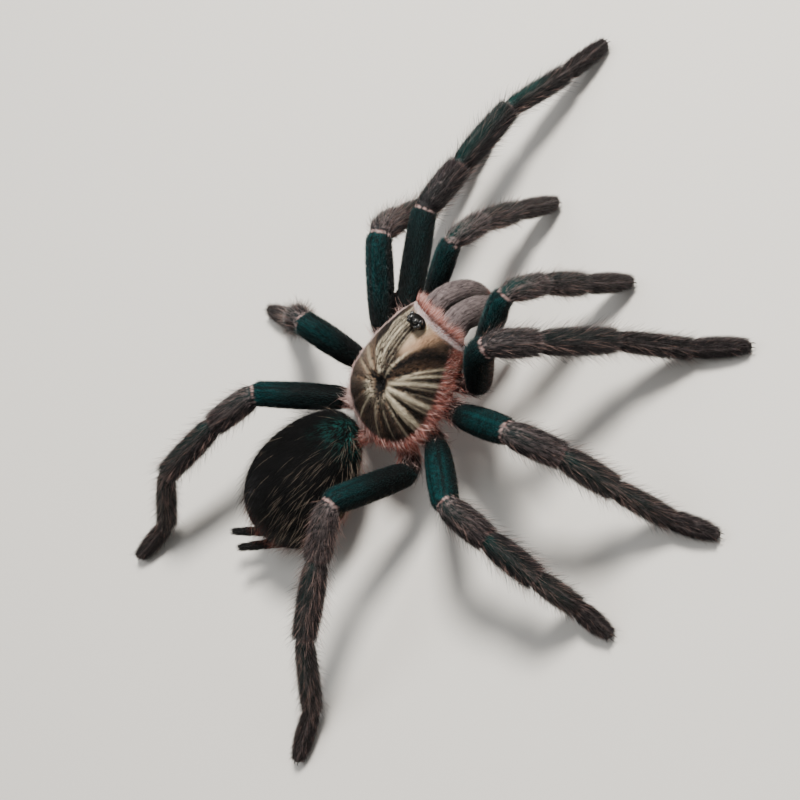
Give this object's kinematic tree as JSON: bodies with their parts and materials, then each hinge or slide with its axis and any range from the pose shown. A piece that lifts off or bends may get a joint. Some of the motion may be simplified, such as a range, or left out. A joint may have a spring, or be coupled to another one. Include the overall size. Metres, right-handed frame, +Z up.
{
  "type": "tarantula model",
  "caption": "Life-size still model of a bristly tarantula spider in a walking stance, resting on the flats of its feet.",
  "frame": {"origin": "on the floor, below the middle of the outer box", "axes": "+Z up from the floor, +Y towards the head, +X to the animal's right"},
  "size_m": [0.1118, 0.146, 0.0321],
  "materials": {
    "carapace_hair": "short bronze hair over dark cuticle",
    "abdomen_velvet": "black velvet of short hair",
    "femur_velvet": "black-green velvet with a teal sheen",
    "leg_hair": "grey-mauve bristly hair",
    "foot_hair": "dark grey-brown velvet",
    "chelicera_hair": "short grey-mauve hair",
    "underside": "reddish brown hair",
    "fang": "polished black",
    "eyes": "glossy black"
  },
  "bodies": {
    "root": {"abdomen": "abdomen_velvet", "carapace": "carapace_hair", "eye_mound": "eyes", "pedicel": "underside", "sternum": "underside", "left_chelicera": "chelicera_hair", "left_fang": "fang", "left_spinneret": "abdomen_velvet", "left_leg_1_coxa": "underside", "left_leg_1_femur": "femur_velvet", "left_leg_1_patella_tibia": "leg_hair", "left_leg_1_metatarsus_tarsus": "foot_hair", "left_leg_2_coxa": "underside", "left_leg_2_femur": "femur_velvet", "left_leg_2_patella_tibia": "leg_hair", "left_leg_2_metatarsus_tarsus": "foot_hair", "left_leg_3_coxa": "underside", "left_leg_3_femur": "femur_velvet", "left_leg_3_patella_tibia": "leg_hair", "left_leg_3_metatarsus_tarsus": "foot_hair", "left_leg_4_coxa": "underside", "left_leg_4_femur": "femur_velvet", "left_leg_4_patella_tibia": "leg_hair", "left_leg_4_metatarsus_tarsus": "foot_hair", "left_palp_coxa": "underside", "left_palp_femur": "femur_velvet", "left_palp_patella_tibia": "leg_hair", "left_palp_tarsus": "foot_hair", "right_chelicera": "chelicera_hair", "right_fang": "fang", "right_spinneret": "abdomen_velvet", "right_leg_1_coxa": "underside", "right_leg_1_femur": "femur_velvet", "right_leg_1_patella_tibia": "leg_hair", "right_leg_1_metatarsus_tarsus": "foot_hair", "right_leg_2_coxa": "underside", "right_leg_2_femur": "femur_velvet", "right_leg_2_patella_tibia": "leg_hair", "right_leg_2_metatarsus_tarsus": "foot_hair", "right_leg_3_coxa": "underside", "right_leg_3_femur": "femur_velvet", "right_leg_3_patella_tibia": "leg_hair", "right_leg_3_metatarsus_tarsus": "foot_hair", "right_leg_4_coxa": "underside", "right_leg_4_femur": "femur_velvet", "right_leg_4_patella_tibia": "leg_hair", "right_leg_4_metatarsus_tarsus": "foot_hair", "right_palp_coxa": "underside", "right_palp_femur": "femur_velvet", "right_palp_patella_tibia": "leg_hair", "right_palp_tarsus": "foot_hair"}
  },
  "joints": []
}
